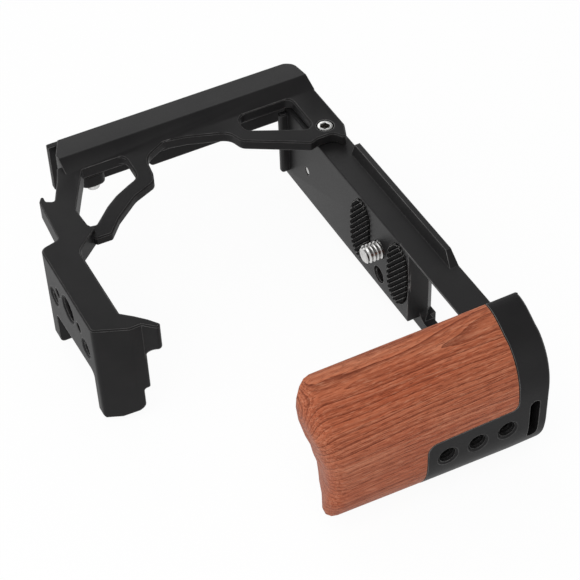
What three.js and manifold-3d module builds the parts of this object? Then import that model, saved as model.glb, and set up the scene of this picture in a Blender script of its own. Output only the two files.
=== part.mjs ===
// Camera cage: a milled base with a screw and pads for the camera, a side frame that carries
// an accessory block over the camera's top, and a wooden hand grip on a metal foot.
// Millimetres. While the pieces are shaped, x runs from the side beam to the grip, y towards the
// lens and z up from the underside, with x = y = 0 on the axis of the camera screw.
import * as THREE from 'three';
import { mergeVertices } from 'three/addons/utils/BufferGeometryUtils.js';
import Module from 'manifold-3d';

const wasm = await Module();
wasm.setup();

// Fits shared by all pieces
const fitGap = 0.3; // between two pieces that touch
const screwGap = 0.3; // radial, round a screw in its thread
const cutOver = 2; // how far a cutter runs past the face it opens
const edgeBreak = 0.45; // broken edge of a milled face

// Camera space
const seatHeight = 10.4; // underside to the seat
const headroom = 87.3; // seat to the underside of the accessory block

// Base plate
const seatLeft = 63.5; // screw axis to the beam end
const seatRight = 17.9; // screw axis to the battery window
const seatFront = 12.9; // screw axis to the front face
const seatRear = 16.1; // screw axis to the rear edge of the seat
const seatEndChamfer = 3; // under the edge at the battery window
const ledgeDepth = 2.5; // rear ledge behind the seat
const ledgeDrop = 4.5; // seat to the ledge
const lipThickness = 2.5; // stop at the beam end
const lipHeight = 2.8;
const lipLength = 24.6;
const lipRadius = 0.8;
const lipOffset = 1.2; // centre of the stop behind the screw axis
const dovetailReach = 3.3; // quick-release rail, beyond the front face
const dovetailFlat = 1.8; // height of its vertical edge
const dovetailSlope = 1.2; // height of its sloping face
const dovetailLeft = 31; // screw axis to the rail's left end
const dovetailRight = 24.8; // screw axis to the rail's right end
const dovetailTaper = 4.7; // run of the tapered right end
const frontBarWidth = 3.6;
const frontBarRise = 0.15; // above the seat
const frontBarFlat = 0.6; // left on top by the chamfer
const rearBarWidth = 3.8;
const rearBarHeight = 4;
const rearBarSet = 0.8; // inner face behind the seat's rear edge
const windowFrontRadius = 1.2;
const windowRearRadius = 3;
const spareThread = 6.2; // second 1/4 inch hole beside the screw
const spareThreadOffset = 10.8;
const smallHole = 3;
const smallHoleLeft = 48.2;
const smallHoleBack = 4;

// Camera screw, 1/4 inch, captive in the base
const cameraThread = 6.1;
const cameraThreadStand = 5.6; // tip above the seat
const screwNeck = 4.6;
const screwNeckLength = 2.4;
const screwHead = 12;
const screwHeadHeight = 3;
const screwPocket = 13.2;
const screwPocketDepth = 6.4;
const coinSlotWidth = 1.6;
const coinSlotDepth = 1.4;
const washerThickness = 0.6;
const washerOuter = 10;
const screwTipChamfer = 0.7;

// Rubber pads
const padWidth = 11.8;
const padLength = 24.2;
const padThickness = 1.3;
const padPocketDepth = 0.9;
const padSpacing = 23.4; // centre to centre
const padBack = 0.6; // centres behind the screw axis
const padRibCount = 13;
const padRibPitch = 1.45;
const padRibWidth = 0.9;
const padRibDepth = 0.5;
const padRibAngle = 0.87; // radians, from the x axis

// Side frame: beam
const beamOuter = 79; // screw axis to the outer face
const beamInner = 61.7; // screw axis to the inner edge of the front plate
const frontFace = 17; // screw axis to the flat front face
const beamRidge = 67.6; // screw axis to the ridge
const beamRidgeRise = 2.1; // ridge in front of the flat face
const beamShoulderRise = 0.05; // outer shoulder in front of the flat face
const sideWall = 2;
const sideWallRear = 4.9; // rear edge of the side wall's lower half, behind the screw axis
const sideWallWaist = 3; // rear edge of its upper half
const sideWallStep = 53.6; // height of the step between them
const sideWallStepRise = 1.4;
const sideWallStepRadius = 1.6;
const sideWallTop = 88; // height of the side wall's end
const sideWallNip = 2.2; // rear corner cut of its end
const sideWallNipDrop = 5;
const beamCornerRadius = 4.5;
const beamHollowRadius = 2.5;

// Side frame: lower gusset, upper arm and strut
const gussetReach = 25.1; // beam inner edge to the gusset's tip
const gussetHeight = 54;
const armReach = 31.7; // beam inner edge to the block
const armHeight = 30; // arm's foot on the beam to its top edge
const armBase = 70.4; // height of the arm's foot
const armDepth = 6.6;
const armEdgeBreak = 0.25;
const strutReach = 28.7;
const strutHeight = 35.9;
const strutBase = 54.4; // height of the strut's lower root
const strutSetback = 2; // strut end behind the flat front face
const strutDepth = 3.2;
const frameScrewLeft = 43.3;
const frameScrewHeight = 5.9;
const frameThread = 3;
const frameScrewHead = 5.5;
const frameScrewHeadHeight = 2.4;
const frameScrewLength = 9;
const headGap = 0.2; // round a screw head in its counterbore
const hexKey = 2.5;
const hexDepth = 1.4;

// Strap lug inside the beam
const lugReach = 5;
const lugHeight = 8.6;
const lugRadius = 2.8;
const lugDepth = 4.4;
const lugMid = 75.7; // height of its centre
const lugRear = 0.7; // rear face behind the screw axis
const lugScrewSide = 2.5; // side wall to the screw's axis
const lugThread = 3;
const lugScrewHead = 4.4;
const lugScrewHeadHeight = 1.6;
const lugScrewLength = 6;

// Side frame: accessory block
const blockTop = 97.5; // above the seat
const blockRight = 9.8;
const blockLeft = 36.4;
const blockRear = 20.4; // screw axis to the right leg's rear end
const blockRearFlat = 4.4; // height of the upright part of that end
const blockRearSlope = 3.4; // run of the sloping part below it
const blockRearRadius = 2.1;
const blockRearLeft = 17.5; // screw axis to the left leg's rear end
const blockSlopeLeft = 2.4; // run of the sloping left end
const blockLeftRadius = 2.8;
const blockSlopeRight = 4.4; // run of the sloping right end
const blockEdgeRadius = 1.6;
const legLeft = 8.6; // thickness of the left leg
const legRight = 7.5;
const skirtThickness = 3.4;
const skirtDrop = 4.45; // skirt below the block's underside
const skirtStepBack = 9.5; // where the skirt steps up, behind the screw axis
const skirtStep = 2.3;
const skirtRadius = 0.9;
const archLeft = 4.7; // front of the arch at the left leg, behind the screw axis
const archRight = 3; // and at the right leg
const archRadius = 2.2;
const waistDepth = 2.4; // scoop along the right end
const tabDrop = 8.2; // tab below the block's underside
const tabRear = 8.2; // tab's rear face in front of the screw axis
const tabRun = 12.8; // tab's length along x
const tabWebRadius = 5.2; // hollow behind the tab, down from the skirt
const tabWebTop = 3.7; // where it starts, below the block's underside
const tabWebReach = 6;
const quarterThread = 5.6;
const quarterMouth = 6.9;
const threeEighthsThread = 8.4;
const threeEighthsMouth = 9.7;
const mouthDepth = 0.65;
const locatingHole = 3.5;
const locatingDepth = 3;
const holePatternMid = 14.2; // pattern's centre left of the screw axis
const quarterSpan = 12.35; // centre to a 1/4 inch hole
const quarterForward = 3.5;
const locatingSpan = 8.2;
const locatingForward = 8.5;
const bigForward = 8.7;

// Grip
const gripOuter = 79.3; // screw axis to the grip's outer face
const gripThickness = 19.8;
const gripFront = 28.5;
const gripFrontLean = 0.45; // front face back at the foot
const gripRear = 18.6;
const gripRearLean = 3.2; // rear face forward at the top
const footHeight = 10.1; // metal foot
const footEdge = 0.5; // its rounded lower edge
const gripHeight = 62.6; // tallest point of the wood above the foot
const gripTopFillet = 5;
const stripHeight = 29.3; // metal strip above the foot's top
const stripFront = 3.4; // its front edge in front of the screw axis
const stripDepth = 6.5; // its inner face behind the grip's outer face
const stripRadius = 3;
const stripRootRadius = 2.5; // hollow where its front edge meets the foot
const stripHolePitch = 9.8;
const stripHoleLow = 13.4; // height of the lowest hole
const stripHoleBack = 3.9;
const stripHoleCount = 3;
const stripHoleDepth = 5.4;
const strapSlotHeight = 3.3;
const strapSlotBase = 2.9;
const strapSlotFront = 3.8;
const strapSlotRear = 11.7;
const strapBar = 3.4; // metal left outside the strap pocket
const strapPocket = 4.2; // pocket behind it
const gripScrewThread = 3;
const gripScrewHead = 5.5;
const gripScrewHeadHeight = 2.4;
const gripScrewLength = 15;
const gripScrewSpacing = 24;
const gripScrewMid = 3; // middle of the pair in front of the screw axis
const gripScrewInset = 7.5; // from the grip's inner face
const insertOuter = 5;
const insertLength = 8;

// Fineness of curves
const arcSteps = 5;
const roundSides = 28;
const smallRoundSides = 18;
const gripRingPoints = 56;
const gripFilletSteps = 4;
const gripCapRings = 5;
const waistSides = 168;
const filletReachShare = 0.49; // most of an edge that one fillet may take
const straightCornerAngle = 1.54; // radians, half angle from which a corner counts as straight

// Outlines as shares of the box they fill: [across, up, fillet radius share of the box width]
const gussetShares = [
  [-0.171, 0, 0], [0.82, 0, 0.14], [1.09, 0.05, 0.04], [0.91, 0.096, 0.12],
  [0.905, 0.2, 0.04], [0.944, 0.252, 0.05], [0.474, 0.606, 0.14], [0.25, 0.637, 0.2],
  [0.06, 0.869, 0.3], [0, 1, 0], [-0.171, 1, 0],
];
const gussetWindowShares = [
  [0.002, 0.169, 0.1], [0.731, 0.171, 0.096], [0.309, 0.539, 0.12], [0.002, 0.535, 0.16],
];
const armShares = [
  [-0.136, 0.35, 0], [0, 0.41, 0], [0.155, 0.5, 0.2], [0.52, 0.705, 0.05],
  [0.77, 0.69, 0.03], [0.855, 0.643, 0.02], [1.057, 0.885, 0.1], [1.11, 0.913, 0],
  [1.11, 1.11, 0], [0.874, 1.11, 0], [0.82, 1.03, 0], [0.338, 0.998, 0.03],
  [0.246, 0.992, 0.03], [0.15, 0.925, 0.02], [0.265, 0.932, 0.03], [0.312, 0.85, 0.03],
  [0.041, 0.71, 0], [-0.136, 0.633, 0],
];
const strutShares = [
  [-0.15, 0.53, 0], [0, 0.53, 0], [0, 0.387, 0.09], [0.376, 0.387, 0.12],
  [0.44, 0.505, 0.1], [0.53, 0.648, 0.2], [0.635, 0.765, 0.2], [0.75, 0.862, 0.1],
  [0.835, 0.935, 0.04], [0.81, 1.05, 0], [0.95, 1.05, 0], [1.03, 1.0, 0.02],
  [1.035, 0.862, 0.04], [0.86, 0.736, 0.2], [0.64, 0.508, 0.3], [0.528, 0.284, 0.1],
  [0.4, 0.25, 0], [0.146, 0.228, 0.2], [0, 0, 0.09], [0, -0.1, 0], [-0.15, -0.1, 0],
];
// Beam end: the diagonal cut of the front plate, as shares of the arm's box
const beamTopShares = [[-0.55, 0.45], [-0.268, 0.583], [0.041, 0.71], [0.312, 0.85]];
// Tab in front view, shares of its run and of its drop below the block's underside
const tabShares = [
  [0, 0.1], [0.16, 0.03], [0.41, -0.4], [0.66, -0.77], [0.92, -1.07, 0.07],
  [1.04, -0.92, 0.07], [0.71, -0.35], [0.55, 0.08], [0.43, 0.58], [0.38, 0.94],
];
// Half of a pad's outline, shares of its half width and half length; the rest is its half turn
const padShares = [
  [-0.75, 0.664], [-0.45, 0.87], [-0.15, 0.97], [0.15, 1.0], [0.46, 0.95], [0.73, 0.83],
  [0.9, 0.67], [0.97, 0.46], [1.0, 0.15], [0.985, -0.2], [0.93, -0.42],
];
// Grip in plan: shares of its width from the inner face and of its length from the rear face
const gripShares = [
  [0, 0.997], [0.06, 1.0], [0.14, 0.997], [0.27, 0.98], [0.42, 0.945], [0.52, 0.92],
  [0.62, 0.9], [0.72, 0.863], [0.81, 0.817], [0.89, 0.76], [0.95, 0.692], [0.985, 0.625],
  [1.0, 0.545], [1.0, 0.4], [1.0, 0.27], [0.99, 0.215], [0.965, 0.16], [0.925, 0.115],
  [0.87, 0.07], [0.8, 0.025], [0.72, 0], [0.5, 0], [0.25, 0], [0.04, 0], [0, 0.02],
  [0, 0.25], [0, 0.5], [0, 0.75],
];
// Height of the grip's top, shares of its full height: [along from the rear, inner, outer]
const gripTopShares = [
  [0, 0.85, 1.005], [0.1, 0.855, 1.0], [0.2, 0.865, 0.97], [0.35, 0.885, 0.945],
  [0.5, 0.92, 0.945], [0.65, 0.955, 0.96], [0.8, 0.985, 0.975], [0.92, 0.985, 0.975],
  [1.0, 0.965, 0.965],
];

// Solids from closed geometries, and back
function toSolid(geometry) {
  const plain = geometry.clone();
  plain.deleteAttribute('normal');
  plain.deleteAttribute('uv');
  const merged = mergeVertices(plain);
  const vertProperties = new Float32Array(merged.attributes.position.array);
  const triVerts = new Uint32Array(merged.index.array);
  return new wasm.Manifold(new wasm.Mesh({ numProp: 3, vertProperties, triVerts }));
}

function toGeometry(solid) {
  const mesh = solid.getMesh();
  const geometry = new THREE.BufferGeometry();
  geometry.setAttribute('position', new THREE.BufferAttribute(new Float32Array(mesh.vertProperties), 3));
  geometry.setIndex(new THREE.BufferAttribute(new Uint32Array(mesh.triVerts), 1));
  return geometry;
}

function join(solids) {
  return solids.reduce((whole, solid) => whole.add(solid));
}

function cutAll(solid, cutters) {
  return cutters.reduce((rest, cutter) => rest.subtract(cutter), solid);
}

// A closed outline with a fillet at each corner; corners are [u, v, radius]
function filletedShape(corners) {
  const shape = new THREE.Shape();
  corners.forEach(([u, v, radius = 0], index) => {
    const corner = new THREE.Vector2(u, v);
    const before = corners[(index + corners.length - 1) % corners.length];
    const after = corners[(index + 1) % corners.length];
    const inward = new THREE.Vector2(before[0], before[1]).sub(corner);
    const onward = new THREE.Vector2(after[0], after[1]).sub(corner);
    const reach = Math.min(inward.length(), onward.length()) * filletReachShare;
    inward.normalize();
    onward.normalize();
    const half = Math.acos(THREE.MathUtils.clamp(inward.dot(onward), -1, 1)) / 2;
    const setback = Math.min(radius / Math.tan(half), reach);
    if (radius === 0 || half > straightCornerAngle) {
      addPoint(shape, index, corner);
      return;
    }
    const round = setback * Math.tan(half);
    const centre = inward.clone().add(onward).normalize();
    centre.multiplyScalar(round / Math.sin(half)).add(corner);
    const start = inward.clone().multiplyScalar(setback).add(corner);
    const end = onward.clone().multiplyScalar(setback).add(corner);
    const turn = inward.cross(onward);
    addPoint(shape, index, start);
    const startAngle = Math.atan2(start.y - centre.y, start.x - centre.x);
    const endAngle = Math.atan2(end.y - centre.y, end.x - centre.x);
    shape.absarc(centre.x, centre.y, round, startAngle, endAngle, turn > 0);
  });
  shape.closePath();
  return shape;
}

function addPoint(shape, index, point) {
  if (index === 0) {
    shape.moveTo(point.x, point.y);
  } else {
    shape.lineTo(point.x, point.y);
  }
}

// Corners from a table of shares, placed in a box
function placeShares(table, left, base, width, height) {
  return table.map(([across, up, round = 0]) => [left + across * width, base + up * height, round * width]);
}

function extruded(shape, depth, bevel, steps = arcSteps) {
  return new THREE.ExtrudeGeometry(shape, {
    depth: depth - 2 * bevel,
    bevelEnabled: bevel > 0,
    bevelThickness: bevel,
    bevelSize: bevel,
    bevelOffset: -bevel,
    bevelSegments: 1,
    curveSegments: steps,
  }).translate(0, 0, bevel);
}

// Prisms along each axis; the outline is given in the other two axes, in alphabetical order
function prismZ(shape, low, high, bevel = 0, steps = arcSteps) {
  return toSolid(extruded(shape, high - low, bevel, steps).translate(0, 0, low));
}

function prismY(shape, low, high, bevel = 0, steps = arcSteps) {
  const geometry = extruded(shape, high - low, bevel, steps);
  return toSolid(geometry.rotateX(Math.PI / 2).translate(0, high, 0));
}

function prismX(shape, low, high, bevel = 0, steps = arcSteps) {
  const turned = new THREE.Matrix4().makeBasis(
    new THREE.Vector3(0, 1, 0),
    new THREE.Vector3(0, 0, 1),
    new THREE.Vector3(1, 0, 0),
  );
  const geometry = extruded(shape, high - low, bevel, steps);
  return toSolid(geometry.applyMatrix4(turned).translate(low, 0, 0));
}

function box(x0, x1, y0, y1, z0, z1) {
  const geometry = new THREE.BoxGeometry(x1 - x0, y1 - y0, z1 - z0);
  return toSolid(geometry.translate((x0 + x1) / 2, (y0 + y1) / 2, (z0 + z1) / 2));
}

// A turned solid from [radius, height] pairs, its axis along z, y or x
function turnedGeometry(profile, sides) {
  const points = profile.map(([radius, height]) => new THREE.Vector2(radius, height));
  return new THREE.LatheGeometry(points, sides);
}

function turnedZ(profile, x, y, sides = roundSides) {
  return toSolid(turnedGeometry(profile, sides).rotateX(Math.PI / 2).translate(x, y, 0));
}

function turnedY(profile, x, z, sides = roundSides) {
  return toSolid(turnedGeometry(profile, sides).translate(x, 0, z));
}

function turnedX(profile, y, z, sides = roundSides) {
  return toSolid(turnedGeometry(profile, sides).rotateZ(-Math.PI / 2).translate(0, y, z));
}

function rod(radius, low, high) {
  return [[0, low], [radius, low], [radius, high], [0, high]];
}

// A threaded hole's cutter: bore with a countersunk mouth at its top
function mouthedBore(bore, mouth, low, top) {
  return [
    [0, low], [bore / 2, low], [bore / 2, top - mouthDepth],
    [mouth / 2, top], [mouth / 2, top + cutOver], [0, top + cutOver],
  ];
}

function holeZ(diameter, x, y, low, high, sides = roundSides) {
  return prismZ(circle(x, y, diameter / 2), low, high, 0, sides / 2);
}

function circle(u, v, radius) {
  const shape = new THREE.Shape();
  shape.absarc(u, v, radius, 0, Math.PI * 2, false);
  return shape;
}

// Base plate
const gripInner = gripOuter - gripThickness;
const rearBarInner = seatRear + rearBarSet;
const frontBarInner = seatFront - frontBarWidth;

function makeSeat() {
  const profile = [
    [seatFront, seatHeight, edgeBreak],
    [-seatRear, seatHeight, edgeBreak],
    [-seatRear, seatHeight - ledgeDrop, 0],
    [-seatRear - ledgeDepth, seatHeight - ledgeDrop, edgeBreak],
    [-seatRear - ledgeDepth, 0, 0],
    [seatFront, 0, 0],
  ];
  return prismX(filletedShape(profile), -seatLeft, seatRight, 0, 2);
}

function makeDovetail() {
  const front = seatFront + dovetailReach;
  const rear = -seatRear - ledgeDepth - dovetailReach;
  const shoulder = dovetailFlat + dovetailSlope;
  const profile = [
    [front, 0], [front, dovetailFlat], [seatFront, shoulder],
    [-seatRear - ledgeDepth, shoulder], [rear, dovetailFlat], [rear, 0],
  ];
  const plan = [
    [-dovetailLeft, rear], [seatRight, rear], [seatRight, frontBarInner],
    [dovetailRight + dovetailTaper, frontBarInner], [dovetailRight + dovetailTaper, seatFront],
    [dovetailRight, front], [-dovetailLeft, front],
  ];
  const rail = prismX(filletedShape(profile), -dovetailLeft, dovetailRight + dovetailTaper);
  return rail.intersect(prismZ(filletedShape(plan), 0, shoulder));
}

function makeBars() {
  const into = windowRearRadius + cutOver;
  const barTop = seatHeight + frontBarRise;
  const slope = frontBarWidth - frontBarFlat;
  const frontProfile = [
    [seatFront, 0], [seatFront, barTop], [seatFront - frontBarFlat, barTop],
    [frontBarInner, barTop - slope], [frontBarInner - into, barTop - slope], [frontBarInner - into, 0],
  ];
  const front = prismX(filletedShape(frontProfile), seatRight - into, gripInner + into);
  const rearOuter = -rearBarInner - rearBarWidth;
  const rearTop = seatHeight - ledgeDrop;
  const rear = box(
    seatRight - into, gripInner + into, rearOuter, -rearBarInner + into, rearTop - rearBarHeight, rearTop,
  );
  const woodRoom = box(
    gripInner - fitGap, gripInner + into + cutOver, frontBarInner - into - cutOver, seatFront + cutOver,
    footHeight, barTop + cutOver,
  );
  return join([front.subtract(woodRoom), rear]);
}

function makeBatteryWindow() {
  const outline = [
    [seatRight, frontBarInner, windowFrontRadius],
    [seatRight, -rearBarInner, windowRearRadius],
    [gripInner, -rearBarInner, windowRearRadius],
    [gripInner, frontBarInner, windowFrontRadius],
  ];
  return prismZ(filletedShape(outline), -cutOver, seatHeight + frontBarRise + cutOver);
}

function makeEndChamfer() {
  const corner = [
    [seatRight - seatEndChamfer - cutOver, -cutOver], [seatRight + cutOver, -cutOver],
    [seatRight + cutOver, seatEndChamfer + cutOver],
  ];
  return prismY(filletedShape(corner), -rearBarInner, frontBarInner);
}

function makeLip() {
  const y0 = -lipOffset - lipLength / 2;
  const y1 = lipLength / 2 - lipOffset;
  const profile = [
    [-seatLeft, seatHeight - cutOver], [-seatLeft + lipThickness, seatHeight - cutOver],
    [-seatLeft + lipThickness, seatHeight + lipHeight, lipRadius],
    [-seatLeft, seatHeight + lipHeight, lipRadius],
  ];
  return prismY(filletedShape(profile), y0, y1, edgeBreak, 2);
}

function gripPlan(inset, leanForward, leanBack) {
  const front = gripFront - leanBack;
  const rear = leanForward - gripRear;
  const points = gripShares.map(([across, along]) => new THREE.Vector3(
    gripInner + across * gripThickness,
    rear + along * (front - rear),
    0,
  ));
  const curve = new THREE.CatmullRomCurve3(points, true, 'centripetal');
  const ring = curve.getPoints(gripRingPoints).slice(0, gripRingPoints).reverse();
  ring.forEach((point) => {
    point.x = THREE.MathUtils.clamp(point.x, gripInner, gripOuter);
    point.y = THREE.MathUtils.clamp(point.y, rear, front);
  });
  if (inset === 0) {
    return ring;
  }
  return ring.map((point, index) => {
    const before = ring[(index + ring.length - 1) % ring.length];
    const after = ring[(index + 1) % ring.length];
    const along = after.clone().sub(before).normalize();
    return new THREE.Vector3(point.x - along.y * inset, point.y + along.x * inset, 0);
  });
}

// Joins rings of equal count, bottom to top, into a closed solid; each end fans to its middle
function loft(rings) {
  const count = rings[0].length;
  const points = rings.flat();
  const indices = [];
  for (let ring = 0; ring + 1 < rings.length; ring += 1) {
    for (let side = 0; side < count; side += 1) {
      const a = ring * count + side;
      const b = ring * count + (side + 1) % count;
      indices.push(a, b, b + count, a, b + count, a + count);
    }
  }
  const last = (rings.length - 1) * count;
  const ends = [rings[0], rings[rings.length - 1]];
  ends.forEach((ring) => {
    const middle = ring.reduce((sum, point) => sum.add(point), new THREE.Vector3());
    points.push(middle.divideScalar(count));
  });
  for (let side = 0; side < count; side += 1) {
    const next = (side + 1) % count;
    indices.push(next, side, points.length - 2);
    indices.push(last + side, last + next, points.length - 1);
  }
  const geometry = new THREE.BufferGeometry().setFromPoints(points);
  geometry.setIndex(indices);
  return toSolid(geometry);
}

function atHeight(ring, height) {
  return ring.map((point) => new THREE.Vector3(point.x, point.y, height));
}

function makeFoot() {
  const low = gripPlan(footEdge, 0, gripFrontLean);
  const full = gripPlan(0, 0, gripFrontLean);
  return loft([atHeight(low, 0), atHeight(full, footEdge), atHeight(full, footHeight)]);
}

function stripRegion(grow) {
  const rear = -gripRear - cutOver;
  const root = stripFront + stripRootRadius + cutOver;
  const outline = [
    [rear, footHeight - cutOver], [root, footHeight - cutOver], [root, footHeight + grow],
    [stripFront + grow, footHeight + grow, stripRootRadius],
    [stripFront + grow, footHeight + stripHeight + grow, stripRadius + grow],
    [rear, footHeight + stripHeight + grow],
  ];
  return prismX(filletedShape(outline), gripOuter - stripDepth - grow, gripOuter + cutOver);
}

function makeStrip() {
  const rise = stripHeight / gripHeight;
  const full = gripPlan(0, 0, gripFrontLean);
  const leaning = gripPlan(0, gripRearLean * rise, gripFrontLean * (1 - rise));
  const column = loft([
    atHeight(full, footHeight - cutOver), atHeight(full, footHeight),
    atHeight(leaning, footHeight + stripHeight),
  ]);
  const wall = box(
    gripInner, gripOuter + cutOver, -gripRear - cutOver, gripFront,
    footHeight - cutOver, footHeight + stripHeight,
  );
  return column.intersect(stripRegion(0)).intersect(wall);
}

function makeStripHoles() {
  const holes = [];
  for (let index = 0; index < stripHoleCount; index += 1) {
    const height = stripHoleLow + index * stripHolePitch;
    const profile = mouthedBore(quarterThread, quarterMouth, gripOuter - stripHoleDepth, gripOuter);
    holes.push(turnedX(profile, -stripHoleBack, height, smallRoundSides));
  }
  return holes;
}

function makeStrapSlot() {
  const middle = strapSlotBase + strapSlotHeight / 2;
  const slot = [
    [strapSlotFront, strapSlotBase, strapSlotHeight / 2],
    [strapSlotFront, strapSlotBase + strapSlotHeight, strapSlotHeight / 2],
    [-strapSlotRear, strapSlotBase + strapSlotHeight, strapSlotHeight / 2],
    [-strapSlotRear, strapSlotBase, strapSlotHeight / 2],
  ];
  const inner = gripOuter - strapBar - strapPocket;
  const through = prismX(filletedShape(slot), inner, gripOuter + cutOver);
  const pocket = box(
    inner, gripOuter - strapBar, -strapSlotRear, strapSlotFront, -cutOver, middle + strapSlotHeight / 2,
  );
  return [through, pocket];
}

const padCentres = [-padSpacing / 2, padSpacing / 2];

function padShape(centreX, grow) {
  const halfWidth = padWidth / 2 + grow;
  const halfLength = padLength / 2 + grow;
  const half = padShares.map(([across, along]) => [across * halfWidth, along * halfLength]);
  const whole = [...half, ...half.map(([across, along]) => [-across, -along])];
  const curve = new THREE.SplineCurve(
    [...whole, whole[0]].map(([across, along]) => new THREE.Vector2(centreX + across, along - padBack)),
  );
  return new THREE.Shape(curve.getPoints(whole.length * 2).slice(0, -1));
}

function screwY(sign) {
  return gripScrewMid + (sign * gripScrewSpacing) / 2;
}

const gripScrewX = gripInner + gripScrewInset;
const frameBack = seatFront + fitGap;

function makeBasePlate() {
  const body = join([makeSeat(), makeDovetail(), makeLip(), makeBars().subtract(makeBatteryWindow())]);
  const metal = join([body.subtract(makeEndChamfer()), makeFoot(), makeStrip()]);
  const pads = padCentres.map((centre) => prismZ(
    padShape(centre, fitGap), seatHeight - padPocketDepth, seatHeight + cutOver, 0,
  ));
  const frameBore = turnedY(
    rod(frameThread / 2 + screwGap, frontFace - frameScrewLength - fitGap, seatFront + cutOver),
    -frameScrewLeft,
    frameScrewHeight,
    smallRoundSides,
  );
  const gripBores = [-1, 1].flatMap((sign) => [
    holeZ(
      gripScrewThread + 2 * screwGap, gripScrewX, screwY(sign), -cutOver, footHeight + cutOver,
      smallRoundSides,
    ),
    holeZ(
      gripScrewHead + 2 * headGap, gripScrewX, screwY(sign), -cutOver, gripScrewHeadHeight + 2 * fitGap,
      smallRoundSides,
    ),
  ]);
  return cutAll(metal, [
    ...pads,
    ...makeStripHoles(),
    ...makeStrapSlot(),
    ...gripBores,
    frameBore,
    holeZ(cameraThread + 2 * screwGap, 0, 0, -cutOver, seatHeight + cutOver),
    holeZ(screwPocket, 0, 0, -cutOver, screwPocketDepth),
    holeZ(spareThread, 0, -spareThreadOffset, -cutOver, seatHeight + cutOver, smallRoundSides),
    holeZ(smallHole, -smallHoleLeft, -smallHoleBack, -cutOver, seatHeight + cutOver, smallRoundSides),
  ]);
}

function makePad(centreX) {
  const floor = seatHeight - padPocketDepth + fitGap;
  const top = floor + padThickness;
  const pad = prismZ(padShape(centreX, 0), floor, top);
  const grooves = [];
  for (let index = 0; index < padRibCount; index += 1) {
    const along = (index - (padRibCount - 1) / 2) * padRibPitch;
    const groove = new THREE.BoxGeometry(padWidth * 2, padRibPitch - padRibWidth, padRibDepth * 2);
    groove.translate(0, along, top);
    groove.rotateZ(padRibAngle);
    groove.translate(centreX, -padBack, 0);
    grooves.push(toSolid(groove));
  }
  return cutAll(pad, grooves);
}

const washerTop = screwPocketDepth - fitGap;
const headTop = washerTop - washerThickness - fitGap;

function makeCameraScrew() {
  const headBase = headTop - screwHeadHeight;
  const tip = seatHeight + cameraThreadStand;
  const threadBase = headTop + screwNeckLength;
  const profile = [
    [0, headBase], [screwHead / 2, headBase], [screwHead / 2, headTop], [screwNeck / 2, headTop],
    [screwNeck / 2, threadBase], [cameraThread / 2, threadBase],
    [cameraThread / 2, tip - screwTipChamfer], [cameraThread / 2 - screwTipChamfer, tip], [0, tip],
  ];
  const screw = turnedZ(profile, 0, 0);
  const slot = box(
    -screwHead, screwHead, -coinSlotWidth / 2, coinSlotWidth / 2,
    headBase - cutOver, headBase + coinSlotDepth,
  );
  return screw.subtract(slot);
}

function makeWasher() {
  const low = washerTop - washerThickness;
  const bore = screwNeck / 2 + screwGap;
  const ring = [
    [bore, low], [washerOuter / 2, low], [washerOuter / 2, washerTop], [bore, washerTop], [bore, low],
  ];
  return turnedZ(ring, 0, 0);
}

// Side frame
function makeBeam() {
  const shoulder = frontFace + beamShoulderRise;
  const profile = [
    [-beamOuter, -sideWallRear, edgeBreak],
    [-beamOuter + sideWall, -sideWallRear, edgeBreak],
    [-beamOuter + sideWall, frameBack, beamHollowRadius],
    [-beamInner, frameBack],
    [-beamInner, frontFace],
    [-beamRidge, frontFace + beamRidgeRise, edgeBreak],
    [-beamOuter, shoulder, edgeBreak],
  ];
  const rail = prismZ(filletedShape(profile), 0, sideWallTop);
  const left = -beamInner;
  const topEdge = placeShares(beamTopShares, left, armBase, armReach, armHeight);
  const front = [
    [-beamOuter, 0, beamCornerRadius], [-beamInner + cutOver, 0],
    ...topEdge.slice().reverse().map(([u, v]) => [u, v]),
    [-beamOuter, topEdge[0][1]],
  ];
  const plateFront = frontFace + beamRidgeRise + cutOver;
  const plate = rail.intersect(prismY(filletedShape(front), -sideWallRear - cutOver, plateFront));
  const bladeFront = shoulder - edgeBreak;
  const blade = [
    [-sideWallRear, beamCornerRadius], [bladeFront, beamCornerRadius],
    [bladeFront, sideWallTop, edgeBreak], [-sideWallRear, sideWallTop],
  ];
  const wall = prismX(filletedShape(blade), -beamOuter, -beamOuter + sideWall, 0, 2);
  const side = [
    [-sideWallRear, -cutOver], [plateFront, -cutOver], [plateFront, sideWallTop],
    [-sideWallWaist + sideWallNip, sideWallTop, edgeBreak],
    [-sideWallWaist, sideWallTop - sideWallNipDrop, edgeBreak],
    [-sideWallWaist, sideWallStep + sideWallStepRise, sideWallStepRadius],
    [-sideWallRear, sideWallStep, sideWallStepRadius],
  ];
  const contour = prismX(filletedShape(side), -beamOuter - cutOver, -beamInner + 2 * cutOver);
  return join([plate, wall]).intersect(contour);
}

function makeGusset() {
  const shape = filletedShape(placeShares(gussetShares, -beamInner, 0, gussetReach, gussetHeight));
  shape.holes.push(filletedShape(placeShares(gussetWindowShares, -beamInner, 0, gussetReach, gussetHeight)));
  return prismY(shape, frameBack, frontFace, edgeBreak);
}

function makeArm() {
  const shape = filletedShape(placeShares(armShares, -beamInner, armBase, armReach, armHeight));
  return prismY(shape, frontFace - armDepth, frontFace, armEdgeBreak);
}

function makeStrut() {
  const shape = filletedShape(placeShares(strutShares, -beamInner, strutBase, strutReach, strutHeight));
  const geometry = extruded(shape, strutDepth, edgeBreak);
  geometry.rotateX(Math.PI / 2).translate(beamInner, frontFace, 0);
  const shear = new THREE.Matrix4().makeShear(-strutSetback / strutReach, 0, 0, 0, 0, 0);
  return toSolid(geometry.applyMatrix4(shear).translate(-beamInner, 0, 0));
}

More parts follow.
